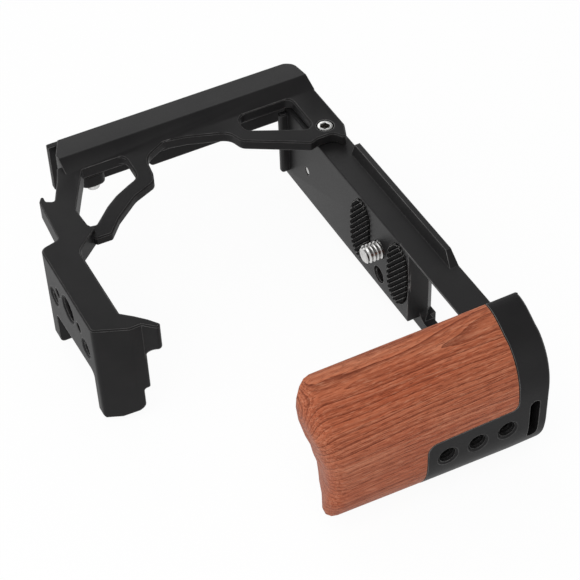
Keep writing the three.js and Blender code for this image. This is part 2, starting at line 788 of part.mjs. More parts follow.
function makeBlock() {
  const under = seatHeight + headroom;
  const top = seatHeight + blockTop;
  const skirtLow = under - skirtDrop;
  const profile = [
    [-blockLeft, under], [-blockLeft + blockSlopeLeft, top, blockLeftRadius],
    [blockRight - blockSlopeRight, top, blockEdgeRadius], [blockRight, under, skirtRadius],
    [blockRight, skirtLow, skirtRadius], [blockRight - skirtThickness, skirtLow, skirtRadius],
    [blockRight - skirtThickness, under, skirtRadius],
  ];
  const stepLow = skirtLow + skirtStep;
  const rightSide = [
    [frontFace + cutOver, skirtLow - cutOver], [frontFace + cutOver, top],
    [-blockRear, top, blockRearRadius], [-blockRear, top - blockRearFlat, blockRearRadius],
    [-blockRear + blockRearSlope, stepLow, blockRearRadius], [-skirtStepBack, stepLow, skirtRadius],
    [-skirtStepBack, skirtLow - cutOver],
  ];
  const leftSide = [
    [frontFace + cutOver, skirtLow - cutOver], [frontFace + cutOver, top],
    [-blockRearLeft, top, blockEdgeRadius], [-blockRearLeft, skirtLow - cutOver],
  ];
  const sides = join([
    prismX(filletedShape(leftSide), -blockLeft - cutOver, -holePatternMid),
    prismX(filletedShape(rightSide), -holePatternMid, blockRight + cutOver),
  ]);
  const body = prismY(filletedShape(profile), -blockRear, frontFace, edgeBreak).intersect(sides);
  const arch = [
    [-blockLeft + legLeft, -archLeft, archRadius],
    [blockRight - legRight, -archRight, archRadius],
    [blockRight - legRight, -blockRear - cutOver],
    [-blockLeft + legLeft, -blockRear - cutOver],
  ];
  const archCut = prismZ(filletedShape(arch), skirtLow - cutOver, top + cutOver);
  const tab = filletedShape(placeShares(tabShares, 0, under, tabRun, tabDrop));
  return join([
    cutAll(body, [archCut, makeWaist(under, top)]),
    prismY(tab, tabRear, frontFace, edgeBreak),
    makeTabWeb(tab, under),
  ]);
}

// The tab runs back into the skirt with a hollow curve
function makeTabWeb(tab, under) {
  const start = under - tabWebTop;
  const front = tabRear + 2 * edgeBreak;
  const rear = tabRear - tabWebReach;
  const side = [
    [front, under - 2 * tabDrop], [front, under], [rear - tabWebReach, under], [rear - tabWebReach, start],
    [tabRear, start, tabWebRadius], [tabRear, under - 2 * tabDrop],
  ];
  const slab = prismY(tab, rear, front, edgeBreak);
  return slab.intersect(prismX(filletedShape(side), -cutOver, tabRun + 2 * cutOver));
}

function makeWaist(under, top) {
  const span = frontFace + blockRear;
  const radius = (span * span / 4 + waistDepth * waistDepth) / (2 * waistDepth);
  const middle = (frontFace - blockRear) / 2;
  const tilt = Math.atan2(blockSlopeRight, top - under);
  const length = (top - under) * 3;
  const geometry = new THREE.CylinderGeometry(radius, radius, length, waistSides);
  geometry.rotateX(Math.PI / 2).rotateY(-tilt);
  const centre = blockRight + (radius - waistDepth) * Math.cos(tilt) - blockSlopeRight / 2;
  geometry.translate(centre, middle, (under + top) / 2);
  return toSolid(geometry);
}

const lugMiddleX = -beamOuter + sideWall + lugScrewSide;

function makeLug() {
  const x0 = -beamOuter + sideWall / 2;
  const x1 = -beamOuter + sideWall + lugReach;
  const outline = [
    [x0, lugMid - lugHeight / 2], [x1, lugMid - lugHeight / 2, lugRadius],
    [x1, lugMid + lugHeight / 2, lugRadius], [x0, lugMid + lugHeight / 2],
  ];
  return prismY(filletedShape(outline), -lugRear, lugDepth - lugRear);
}

function makeBlockHoles() {
  const top = seatHeight + blockTop;
  const low = seatHeight + headroom - cutOver;
  const quarter = mouthedBore(quarterThread, quarterMouth, low, top);
  const big = mouthedBore(threeEighthsThread, threeEighthsMouth, low, top);
  const holes = [turnedZ(big, -holePatternMid, bigForward, roundSides)];
  [-1, 1].forEach((side) => {
    holes.push(turnedZ(quarter, -holePatternMid + side * quarterSpan, quarterForward, smallRoundSides));
    holes.push(holeZ(
      locatingHole, -holePatternMid + side * locatingSpan, locatingForward,
      top - locatingDepth, top + cutOver, smallRoundSides,
    ));
  });
  return holes;
}

function makeSideFrame() {
  const whole = join([makeBeam(), makeGusset(), makeArm(), makeStrut(), makeBlock(), makeLug()]);
  const frameBore = turnedY([
    [0, -cutOver], [frameThread / 2 + screwGap, -cutOver],
    [frameThread / 2 + screwGap, frontFace - frameScrewHeadHeight - headGap],
    [frameScrewHead / 2 + headGap, frontFace - frameScrewHeadHeight - headGap],
    [frameScrewHead / 2 + headGap, frontFace + cutOver], [0, frontFace + cutOver],
  ], -frameScrewLeft, frameScrewHeight, smallRoundSides);
  const lugBore = turnedY(
    rod(lugThread / 2 + screwGap, -lugRear - cutOver, lugDepth - lugRear + cutOver),
    lugMiddleX,
    lugMid,
    smallRoundSides,
  );
  return cutAll(whole, [frameBore, lugBore, ...makeBlockHoles()]);
}

// A socket-head screw along +z from its head's outer face at zero, pointing down
function screwGeometry(thread, head, headHeight, length) {
  const profile = [
    [0, -length], [thread / 2, -length], [thread / 2, -headHeight],
    [head / 2, -headHeight], [head / 2, 0], [0, 0],
  ];
  return turnedGeometry(profile, smallRoundSides);
}

function socket(depth) {
  const geometry = new THREE.CylinderGeometry(hexKey / Math.sqrt(3), hexKey / Math.sqrt(3), depth * 2, 6);
  return toSolid(geometry);
}

function makeSocketScrew(thread, head, headHeight, length) {
  return toSolid(screwGeometry(thread, head, headHeight, length)).subtract(socket(hexDepth));
}

function makeGrip() {
  const base = footHeight + fitGap;
  const rings = [];
  const length = gripFront + gripRear;
  const stations = gripTopShares.map(([along]) => along);
  function topHeight(point) {
    const along = THREE.MathUtils.clamp((point.y + gripRear) / length, 0, 1);
    const across = THREE.MathUtils.clamp((point.x - gripInner) / gripThickness, 0, 1);
    let index = 0;
    while (index + 2 < stations.length && stations[index + 1] < along) {
      index += 1;
    }
    const [s0, inner0, outer0] = gripTopShares[index];
    const [s1, inner1, outer1] = gripTopShares[index + 1];
    const mix = THREE.MathUtils.smoothstep(along, s0, s1);
    const inner = inner0 + (inner1 - inner0) * mix;
    const outer = outer0 + (outer1 - outer0) * mix;
    return base + gripHeight * (inner + (outer - inner) * across);
  }
  rings.push(atHeight(gripPlan(0, 0, gripFrontLean), base));
  const crest = gripPlan(0, gripRearLean, 0);
  const middle = (gripFront + gripRearLean - gripRear) / 2;
  const centre = new THREE.Vector3(gripInner + gripThickness / 2, middle, 0);
  function drawnIn(inset) {
    const narrow = 1 - inset / (gripThickness / 2);
    const short = 1 - inset / (gripFront - centre.y);
    return crest.map((point) => new THREE.Vector3(
      centre.x + (point.x - centre.x) * narrow,
      centre.y + (point.y - centre.y) * short,
      0,
    ));
  }
  for (let step = 0; step <= gripFilletSteps; step += 1) {
    const angle = (step / gripFilletSteps) * (Math.PI / 2);
    const inset = gripTopFillet * (1 - Math.cos(angle));
    const ring = drawnIn(inset);
    rings.push(ring.map((point, index) => new THREE.Vector3(
      point.x,
      point.y,
      topHeight(crest[index]) * (1 - step / gripFilletSteps) + topHeight(point) * (step / gripFilletSteps)
        - gripTopFillet * (1 - Math.sin(angle)),
    )));
  }
  const rim = rings[rings.length - 1];
  for (let step = 1; step < gripCapRings; step += 1) {
    const shrink = 1 - step / gripCapRings;
    rings.push(rim.map((point) => {
      const moved = new THREE.Vector3(
        centre.x + (point.x - centre.x) * shrink,
        centre.y + (point.y - centre.y) * shrink,
        0,
      );
      moved.z = topHeight(moved);
      return moved;
    }));
  }
  const wood = loft(rings);
  const bores = [-1, 1].map((sign) => holeZ(
    insertOuter + 2 * fitGap, gripScrewX, screwY(sign), base - cutOver, footHeight + gripScrewLength,
    smallRoundSides,
  ));
  return cutAll(wood, [stripRegion(fitGap), ...bores]);
}

function makeInsert(sign) {
  const low = footHeight + 2 * fitGap;
  const outer = rod(insertOuter / 2, low, low + insertLength);
  const body = turnedZ(outer, gripScrewX, screwY(sign), smallRoundSides);
  return body.subtract(holeZ(
    gripScrewThread + 2 * screwGap, gripScrewX, screwY(sign), low - cutOver, low + insertLength + cutOver,
    smallRoundSides,
  ));
}

// Materials and assembly
function material(colour, roughness, metalness) {
  return new THREE.MeshStandardMaterial({ color: colour, roughness, metalness });
}

const blackMetal = material(0x1d1d1f, 0.45, 0.6);
const blackSteel = material(0x2a2a2c, 0.35, 0.9);
const steel = material(0xc9cacb, 0.28, 1);
const brass = material(0xb08d4a, 0.35, 1);
const rubber = material(0x141414, 0.85, 0);
const rosewood = material(0x9a4a2c, 0.5, 0);

const cage = new THREE.Group();
cage.name = 'camera_cage';

function place(name, geometry, look) {
  const mesh = new THREE.Mesh(geometry, look);
  mesh.name = name;
  cage.add(mesh);
  return mesh;
}

place('base_plate', toGeometry(makeBasePlate()), blackMetal);
place('side_frame', toGeometry(makeSideFrame()), blackMetal);
place('wood_grip', toGeometry(makeGrip()), rosewood);
place('camera_screw', toGeometry(makeCameraScrew()), steel);
place('screw_washer', toGeometry(makeWasher()), blackSteel);
place('pad_left', toGeometry(makePad(padCentres[0])), rubber);
place('pad_right', toGeometry(makePad(padCentres[1])), rubber);

const frameScrew = place(
  'frame_screw',
  toGeometry(makeSocketScrew(frameThread, frameScrewHead, frameScrewHeadHeight, frameScrewLength)),
  steel,
);
frameScrew.position.set(-frameScrewLeft, frontFace, frameScrewHeight);

const lugScrew = place(
  'lug_screw',
  toGeometry(makeSocketScrew(lugThread, lugScrewHead, lugScrewHeadHeight, lugScrewLength)),
  steel,
);
lugScrew.rotation.x = Math.PI;
lugScrew.position.set(lugMiddleX, -lugRear - fitGap - lugScrewHeadHeight, lugMid);

[-1, 1].forEach((sign) => {
  const side = sign < 0 ? 'rear' : 'front';
  const screw = place(
    `grip_screw_${side}`,
    toGeometry(makeSocketScrew(gripScrewThread, gripScrewHead, gripScrewHeadHeight, gripScrewLength)),
    blackSteel,
  );
  screw.rotation.x = -Math.PI / 2;
  screw.position.set(gripScrewX, screwY(sign), fitGap);
  place(`grip_insert_${side}`, toGeometry(makeInsert(sign)), brass);
});

// The finished part: the lens side faces -y, the origin is under the middle of the whole cage
const part = new THREE.Group();
cage.rotation.z = Math.PI;
const middleX = (gripOuter - beamOuter) / 2;
const middleY = (gripFront - seatRear - ledgeDepth - dovetailReach) / 2;
cage.position.set(middleX, middleY, 0);
part.add(cage);

export default part;
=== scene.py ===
import math

import bmesh
import bpy
from mathutils import Matrix, Vector


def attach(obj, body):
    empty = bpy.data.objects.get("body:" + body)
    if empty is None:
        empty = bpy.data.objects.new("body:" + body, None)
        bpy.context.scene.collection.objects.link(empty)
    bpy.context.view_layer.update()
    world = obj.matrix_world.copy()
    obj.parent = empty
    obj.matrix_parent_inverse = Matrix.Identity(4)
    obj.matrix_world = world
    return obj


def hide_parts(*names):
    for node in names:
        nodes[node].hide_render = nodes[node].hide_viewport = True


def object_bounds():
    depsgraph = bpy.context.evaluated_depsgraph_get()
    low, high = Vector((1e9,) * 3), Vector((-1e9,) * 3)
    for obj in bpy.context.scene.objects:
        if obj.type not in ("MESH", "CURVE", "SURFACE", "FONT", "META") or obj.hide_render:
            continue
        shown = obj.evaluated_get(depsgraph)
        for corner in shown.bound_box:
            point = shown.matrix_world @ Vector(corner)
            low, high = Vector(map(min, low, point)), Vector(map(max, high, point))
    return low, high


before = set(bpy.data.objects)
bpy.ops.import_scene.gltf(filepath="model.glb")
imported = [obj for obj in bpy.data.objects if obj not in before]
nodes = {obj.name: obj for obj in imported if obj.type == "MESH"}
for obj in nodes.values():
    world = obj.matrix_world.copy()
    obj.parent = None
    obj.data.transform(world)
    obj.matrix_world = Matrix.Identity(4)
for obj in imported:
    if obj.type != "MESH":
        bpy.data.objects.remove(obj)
cad_low, cad_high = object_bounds()
scene = bpy.context.scene

# Picture: the cage lies on its back on a white table. The camera looks down on its lens
# side, from beyond the grip and a little above the open end.
scene.view_settings.view_transform = "Standard"
camera_right = Vector((-0.4602245, 0.0295790, -0.8873097))
camera_up = Vector((0.6129004, -0.7124821, -0.3416465))
camera_back = Vector((-0.6422978, -0.7010666, 0.3097727))
camera_place = (-0.3461688, -0.3720291, 0.2087050)
picture_camera = bpy.data.cameras.new("picture_camera")
picture_camera.sensor_width = 36
picture_camera.lens = 109.1836
picture_camera.clip_start = 0.05
picture_camera.clip_end = 20
camera = bpy.data.objects.new("picture_camera", picture_camera)
scene.collection.objects.link(camera)
turn = Matrix((camera_right, camera_up, camera_back)).transposed()
camera.matrix_world = Matrix.Translation(camera_place) @ turn.to_4x4()
scene.camera = camera


# Base plate: seat, quick-release rail, foot and side strip milled from one aluminium
# block, with broken edges, fine blasted and anodised black.
class Line:
    """A shader socket that takes part in Python arithmetic."""

    def __init__(self, tree, socket):
        self.tree = tree
        self.socket = socket

    def math(self, operation, *others):
        values = dict(enumerate((self, *others)))
        return self.tree.node("ShaderNodeMath", {"operation": operation}, values)

    def __add__(self, other):
        return self.math("ADD", other)

    def __sub__(self, other):
        return self.math("SUBTRACT", other)

    def __mul__(self, other):
        return self.math("MULTIPLY", other)

    def __truediv__(self, other):
        return self.math("DIVIDE", other)

    def __pow__(self, other):
        return self.math("POWER", other)

    def __rsub__(self, other):
        return (self * -1) + other

    def spread(self, low, high, new_low=0.0, new_high=1.0):
        """Its values from low to high, carried to new_low to new_high and held there."""
        return self.tree.node("ShaderNodeMapRange", {"clamp": True}, {
            "Value": self, "From Min": low, "From Max": high, "To Min": new_low, "To Max": new_high})


class Tree:
    """The nodes of a material or of the surroundings."""

    def __init__(self, node_tree):
        self.node_tree = node_tree

    def node(self, kind, settings, values, output=0):
        made = self.node_tree.nodes.new(kind)
        for name, value in settings.items():
            setattr(made, name, value)
        for name, value in values.items():
            if isinstance(value, Line):
                self.node_tree.links.new(value.socket, made.inputs[name])
            else:
                made.inputs[name].default_value = value
        return Line(self, made.outputs[output])

    def beside(self, line, output):
        """Another output of the node that a line comes from."""
        return Line(self, line.socket.node.outputs[output])


class Finish(Tree):
    """One material: its Principled shader, and the patterns that feed it."""

    def __init__(self, name, **fixed):
        self.material = bpy.data.materials.new(name)
        self.material.use_nodes = True
        super().__init__(self.material.node_tree)
        self.shader = self.node_tree.nodes["Principled BSDF"]
        for socket, value in fixed.items():
            self.shader.inputs[socket.replace("_", " ")].default_value = value

    def feed(self, socket, line):
        self.node_tree.links.new(line.socket, self.shader.inputs[socket])

    def place(self, scale=(1, 1, 1), move=(0, 0, 0), turn=(0, 0, 0)):
        """Object coordinates, scaled, turned and then moved."""
        spot = self.node("ShaderNodeTexCoord", {}, {}, "Object")
        return self.node("ShaderNodeMapping", {}, {
            "Vector": spot, "Scale": scale, "Location": move, "Rotation": turn})

    def noise(self, vector, scale, detail=2.0, roughness=0.5):
        return self.node("ShaderNodeTexNoise", {}, {
            "Vector": vector, "Scale": scale, "Detail": detail, "Roughness": roughness}, "Fac")

    def mix(self, share, first, second):
        values = {0: share, 6: first, 7: second}
        return self.node("ShaderNodeMix", {"data_type": "RGBA", "blend_type": "MIX"}, values, 2)

    def open_air(self, reach):
        """1 on open faces and less down in recesses that are about as deep as the reach."""
        settings = {"samples": 8, "only_local": True}
        return self.node("ShaderNodeAmbientOcclusion", settings, {"Distance": reach}, "AO")

    def round_edges(self, radius):
        """The surface's normal with its edges broken to a radius."""
        return self.node("ShaderNodeBevel", {"samples": 8}, {"Radius": radius})

    def along(self, normal, direction):
        """How far a normal points along a direction."""
        values = {0: normal, 1: direction}
        return self.node("ShaderNodeVectorMath", {"operation": "DOT_PRODUCT"}, values, "Value")

    def edges(self, rounded, low, high):
        """1 along the broken edges and 0 on the open faces."""
        plain = self.node("ShaderNodeNewGeometry", {}, {}, "Normal")
        return (1 - self.along(rounded, plain)).spread(low, high)

    def bump(self, height, strength, distance, normal=None):
        values = {"Height": height, "Strength": strength, "Distance": distance}
        if normal is not None:
            values["Normal"] = normal
        return self.node("ShaderNodeBump", {}, values)

    def dress(self, piece):
        piece.data.materials.clear()
        piece.data.materials.append(self.material)


def link(name, shape):
    """A piece from a finished shape, which is used up."""
    mesh = bpy.data.meshes.new(name)
    shape.to_mesh(mesh)
    shape.free()
    piece = bpy.data.objects.new(name, mesh)
    scene.collection.objects.link(piece)
    return piece


def smooth_between(shape, angle):
    """Smooth over curves and sharp where faces meet at more than the angle."""
    for face in shape.faces:
        face.smooth = True
    for edge in shape.edges:
        edge.smooth = len(edge.link_faces) == 2 and edge.calc_face_angle(0) < angle


def merged_copy(node):
    """The shape of a CAD node, with the corners of its triangles joined."""
    shape = bmesh.new()
    shape.from_mesh(nodes[node].data)
    bmesh.ops.remove_doubles(shape, verts=shape.verts, dist=2e-6)
    return shape


def anodised_black(name, edge_radius, rub_and_highlight_radius, gloss):
    """Dyed aluminium: satin and faintly cloudy, darker in its recesses as painted shade, and paler
    along its broken edges as rubbed wear and painted highlight.
    """
    dye_deep = (0.0085, 0.0083, 0.0088, 1)
    dye_faded = (0.0125, 0.0120, 0.0123, 1)
    painted_recess_shade = (0.004, 0.004, 0.0042, 1)
    bare_metal_and_highlight = (0.20, 0.196, 0.194, 1)
    black = Finish(name, Metallic=0.0, Specular_IOR_Level=gloss)
    rounded = black.round_edges(edge_radius)
    open_air = black.open_air(0.0012)
    # Broken edges are paled here, as rubbed wear and as painted highlight, but not in concave corners.
    paler_edges = black.edges(black.round_edges(rub_and_highlight_radius), 0.01, 0.12) * open_air.spread(0.7, 0.95)
    blasted = black.noise(black.place(), scale=3000, detail=3, roughness=0.6)
    cloud = black.noise(black.place(), scale=70, detail=3)
    uneven = black.noise(black.place(), scale=240)
    worn_and_highlit = paler_edges * uneven.spread(0.25, 0.7, 0.3, 0.85)
    dye_and_shade = black.mix(cloud.spread(0.3, 0.7), dye_deep, dye_faded)
    # Recesses are darkened here as painted shade.
    dye_and_shade = black.mix(open_air.spread(0.35, 0.8), painted_recess_shade, dye_and_shade)
    black.feed("Base Color", black.mix(worn_and_highlit, dye_and_shade, bare_metal_and_highlight))
    black.feed("Roughness", blasted.spread(0.25, 0.75, 0.40, 0.52) - paler_edges * 0.12)
    black.feed("Normal", black.bump(blasted, strength=0.16, distance=0.00005, normal=rounded))
    return black


base_black = anodised_black("base_anodised_black", edge_radius=0.0004, rub_and_highlight_radius=0.00045, gloss=0.235)
shape = merged_copy("base_plate")
smooth_between(shape, math.radians(32))
base = link("base_plate_milled", shape)
base_black.dress(base)
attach(base, "cage")
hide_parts("base_plate")

# Tapped holes of the base plate: three in the strip beside the grip and the spare one in
# the seat, all 1/4 inch, 20 to the inch. Each thread is a lining cut into its bore.
quarter_pitch = 0.00127
quarter_root = 0.00292
quarter_crest = 0.00252
strip_face = cad_low.x
strip_hole_line = 0.0072
strip_hole_low = 0.0134
strip_hole_step = 0.0098
strip_hole_depth = 0.0053
seat_hole_wider = 0.0003
seat_hole_mouth = (0.00015, 0.0141, 0.0104)
full_hole_depth = 0.0099


def thread(root, crest, pitch, low, high):
    """A V thread round Z: one zigzag line goes once round and climbs one pitch."""
    steps = 40
    flat_share = 0.06
    turn_profile = (
        (flat_share, root),
        (0.5 - flat_share, crest),
        (0.5 + flat_share, crest),
        (1 - flat_share, root),
    )
    shape = bmesh.new()
    corners = []
    level = low - 1.5 * pitch
    while level < high + pitch:
        for rise, reach in turn_profile:
            at = (reach, 0, level + rise * pitch)
            corners += bmesh.ops.create_vert(shape, co=at)["vert"]
        level += pitch
    line = []
    for pair in zip(corners, corners[1:]):
        line += bmesh.ops.contextual_create(shape, geom=list(pair))["edges"]
    bmesh.ops.spin(
        shape, geom=corners + line, cent=(0, 0, 0), axis=(0, 0, 1), dvec=(0, 0, pitch / steps),
        angle=2 * math.pi, steps=steps, use_merge=False)
    bmesh.ops.remove_doubles(shape, verts=shape.verts, dist=1e-6)
    for end, up in ((low, -1), (high, 1)):
        bmesh.ops.bisect_plane(
            shape, geom=shape.verts[:] + shape.edges[:] + shape.faces[:], plane_co=(0, 0, end),
            plane_no=(0, 0, up), clear_outer=True)
    bmesh.ops.recalc_face_normals(shape, faces=shape.faces)
    return shape


def tapped_hole(name, mouth, inwards, depth, root, crest, pitch, finish):
    """The thread of a hole, from just under its mouth's countersink to its depth."""
    countersink = 0.0005
    lining_wall = 0.00008
    lining = thread(root, crest, pitch, countersink, depth)
    bmesh.ops.solidify(lining, geom=lining.faces, thickness=lining_wall)
    bmesh.ops.recalc_face_normals(lining, faces=lining.faces)
    smooth_between(lining, math.radians(40))
    aim = Vector(inwards).to_track_quat("Z", "Y").to_matrix()
    bmesh.ops.rotate(lining, verts=lining.verts, matrix=aim)
    bmesh.ops.translate(lining, verts=lining.verts, vec=mouth)
    piece = link(name, lining)
    finish.dress(piece)
    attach(piece, "cage")


for index, name in enumerate(("low", "middle", "high")):
    mouth = (strip_face, strip_hole_line, strip_hole_low + index * strip_hole_step)
    tapped_hole(
        f"strip_thread_{name}", mouth, inwards=(1, 0, 0), depth=strip_hole_depth,
        root=quarter_root, crest=quarter_crest, pitch=quarter_pitch, finish=base_black)
tapped_hole(
    "seat_thread", seat_hole_mouth, inwards=(0, 0, -1), depth=full_hole_depth,
    root=quarter_root + seat_hole_wider, crest=quarter_crest + seat_hole_wider,
    pitch=quarter_pitch, finish=base_black)

# Strap pocket lip: the rounded inner edge of the base plate under its strap slot, on which
# a strap bears. It is of the same anodised aluminium.
lip_size = (0.0028, 0.0159, 0.0015)
lip_place = (-0.07285, 0.00725, 0.0010)
lip_round = 0.0006
shape = bmesh.new()
bmesh.ops.create_cube(shape, size=1)
bmesh.ops.scale(shape, verts=shape.verts, vec=lip_size)
long_edges = [
    edge for edge in shape.edges
    if abs(edge.verts[0].co.y - edge.verts[1].co.y) > lip_size[1] / 2]
bmesh.ops.bevel(
    shape, geom=long_edges, offset=lip_round, offset_type="OFFSET", affect="EDGES", segments=4,
    profile=0.5, material=-1)
bmesh.ops.translate(shape, verts=shape.verts, vec=lip_place)
smooth_between(shape, math.radians(40))
lip = link("strap_pocket_lip", shape)
base_black.dress(lip)
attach(lip, "cage")

# Seat pin: a short nickel-plated steel dowel with a rounded top rim, pressed into the
# seat's small hole, a little under its face.
pin_radius = 0.00138
pin_length = 0.004
pin_rim = 0.0003
pin_place = (0.04835, 0.0073, 0.0082)


def nickel(name, recess):
    """Nickel-plated steel: bright, faintly clouded, and dark down in its recesses, with oil residue
    and painted shade.
    """
    steel_bright = (0.66, 0.655, 0.64, 1)
    steel_dark = (0.44, 0.435, 0.43, 1)
    oily_and_shaded_steel = (0.085, 0.060, 0.038, 1)
    plate = Finish(name, Metallic=1.0)
    cloud = plate.noise(plate.place(), scale=500, detail=3)
    specks = plate.noise(plate.place(), scale=5000)
    clean = plate.mix(cloud.spread(0.35, 0.7), steel_bright, steel_dark)
    # Recesses are darkened here, as oil residue and as painted shade.
    plate.feed("Base Color", plate.mix(plate.open_air(recess).spread(0.22, 0.72), oily_and_shaded_steel, clean))
    plate.feed("Roughness", cloud.spread(0.3, 0.7, 0.19, 0.31))
    rounded = plate.round_edges(0.00012)
    plate.feed("Normal", plate.bump(specks, strength=0.10, distance=0.00002, normal=rounded))
    return plate


plated = nickel("nickel_plated_steel", recess=0.0008)
shape = bmesh.new()
bmesh.ops.create_cone(
    shape, cap_ends=True, cap_tris=False, segments=32, radius1=pin_radius, radius2=pin_radius,
    depth=pin_length)
top_rim = [edge for edge in shape.edges if all(vert.co.z > 0 for vert in edge.verts)]
bmesh.ops.bevel(
    shape, geom=top_rim, offset=pin_rim, offset_type="OFFSET", affect="EDGES", segments=3,
    profile=0.5, material=-1)
bmesh.ops.translate(shape, verts=shape.verts, vec=pin_place)
smooth_between(shape, math.radians(40))
pin = link("seat_pin", shape)
plated.dress(pin)
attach(pin, "cage")

# Side frame: beam, gusset, arm, strut, lug and accessory block milled in one piece from
# the same aluminium, with softer edges than the base has.
frame_black = anodised_black("frame_anodised_black", edge_radius=0.0009, rub_and_highlight_radius=0.0005, gloss=0.13)
shape = merged_copy("side_frame")
smooth_between(shape, math.radians(36))
side = link("side_frame_milled", shape)
frame_black.dress(side)
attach(side, "cage")
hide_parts("side_frame")

# Tapped holes of the accessory block: one 3/8 inch, 16 to the inch, between two 1/4 inch,
# all down from the block's top face.
block_top = cad_high.z
large_hole_mouth = (0.01435, -0.0054, block_top)
large_root = 0.00436
large_crest = 0.00392
large_pitch = 0.0015875
small_hole_front = -0.0002
small_holes = (("left", 0.0267), ("right", 0.0020))
tapped_hole(
    "block_thread_large", large_hole_mouth, inwards=(0, 0, -1), depth=full_hole_depth,
    root=large_root, crest=large_crest, pitch=large_pitch, finish=frame_black)
for name, across in small_holes:
    mouth = (across, small_hole_front, block_top)
    tapped_hole(
        f"block_thread_{name}", mouth, inwards=(0, 0, -1), depth=full_hole_depth,
        root=quarter_root, crest=quarter_crest, pitch=quarter_pitch, finish=frame_black)

# Camera screw: a turned steel 1/4 inch screw held in the base by its washer. Its head has
# a coin slot; its thread stands up through the seat into the camera.
screw_place = (0.00015, 0.0033, 0)
screw_neck = 0.0075
screw_tip = 0.0160
screw_taper = 0.0007
screw_root = 0.0025
screw_crest = 0.00305

shape = merged_copy("camera_screw")
bmesh.ops.bisect_plane(
    shape, geom=shape.verts[:] + shape.edges[:] + shape.faces[:], plane_co=(0, 0, screw_neck),
    plane_no=(0, 0, 1), clear_outer=True)
bmesh.ops.holes_fill(shape, edges=shape.edges, sides=0)
bmesh.ops.translate(shape, verts=shape.verts, vec=-Vector(screw_place))
shank = thread(screw_root, screw_crest, quarter_pitch, screw_neck, screw_tip)
for vert in shank.verts:
    reach = math.hypot(vert.co.x, vert.co.y)
    limit = screw_crest - max(0, vert.co.z - screw_tip + screw_taper)
    if reach > limit:
        vert.co.x *= limit / reach
        vert.co.y *= limit / reach
bmesh.ops.holes_fill(shank, edges=shank.edges, sides=0)
bmesh.ops.recalc_face_normals(shank, faces=shank.faces)
shank_mesh = bpy.data.meshes.new("camera_screw_shank")
shank.to_mesh(shank_mesh)
shank.free()
shape.from_mesh(shank_mesh)
bpy.data.meshes.remove(shank_mesh)
bmesh.ops.translate(shape, verts=shape.verts, vec=screw_place)
smooth_between(shape, math.radians(38))
screw = link("camera_screw_threaded", shape)
plated.dress(screw)
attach(screw, "screw")
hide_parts("camera_screw")


# Retaining washer: a flat ring of black-oxide steel round the camera screw's neck, which
# keeps the screw in the base. The grip screws share its finish.
def blackened(name):
    """Black-oxide steel: dark, oily, with grey showing on rubbed edges."""
    oxide_deep = (0.035, 0.035, 0.038, 1)
    oxide_pale = (0.065, 0.063, 0.062, 1)
    grey_steel = (0.22, 0.215, 0.21, 1)
    dark = Finish(name, Metallic=1.0)
    rounded = dark.round_edges(0.0002)
    paler_edges = dark.edges(rounded, 0.02, 0.3)
    cloud = dark.noise(dark.place(), scale=700, detail=3)
    colour = dark.mix(cloud.spread(0.3, 0.7), oxide_deep, oxide_pale)
    dark.feed("Base Color", dark.mix(paler_edges * 0.7, colour, grey_steel))
    dark.feed("Roughness", cloud.spread(0.3, 0.7, 0.28, 0.42))
    dark.feed("Normal", dark.bump(cloud, strength=0.15, distance=0.00003, normal=rounded))
    return dark


oxide = blackened("black_oxide_steel")
oxide.dress(nodes["screw_washer"])

# Pads: two half-moons of matt black rubber glued into the seat, moulded with straight
# ribs that grip the camera. One edge of each rib, on the side towards the light, is painted paler as a
# highlight.
skin_deep = (0.0058, 0.0058, 0.0060, 1)
skin_dry = (0.0125, 0.0125, 0.0125, 1)
rib_painted_highlight = (0.46, 0.45, 0.44, 1)
lit_side = (0.65, -0.76, 0)
rubber = Finish("ribbed_black_rubber", Metallic=0.0, Specular_IOR_Level=0.05)
rounded = rubber.round_edges(0.00018)
# A painted highlight along one side of each rib's edge, broken into patches.
ridge_highlight = rubber.edges(rounded, 0.01, 0.14) * rubber.along(rounded, lit_side).spread(0.05, 0.3)
crumb = rubber.noise(rubber.place(), scale=4200, detail=3, roughness=0.7)
highlight_patches = rubber.noise(rubber.place(), scale=380, detail=3)
skin = rubber.mix(crumb.spread(0.35, 0.7), skin_deep, skin_dry)
rubber.feed("Base Color", rubber.mix(ridge_highlight * highlight_patches.spread(0.3, 0.6, 0.5, 1.0), skin, rib_painted_highlight))
rubber.feed("Roughness", crumb.spread(0.3, 0.7, 0.80, 0.95))
rubber.feed("Normal", rubber.bump(crumb, strength=0.3, distance=0.00004, normal=rounded))
for pad in ("pad_left", "pad_right"):
    shape = merged_copy(pad)
    smooth_between(shape, math.radians(35))
    ribs = link(f"{pad}_ribbed", shape)
    rubber.dress(ribs)
    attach(ribs, "cage")
    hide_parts(pad)


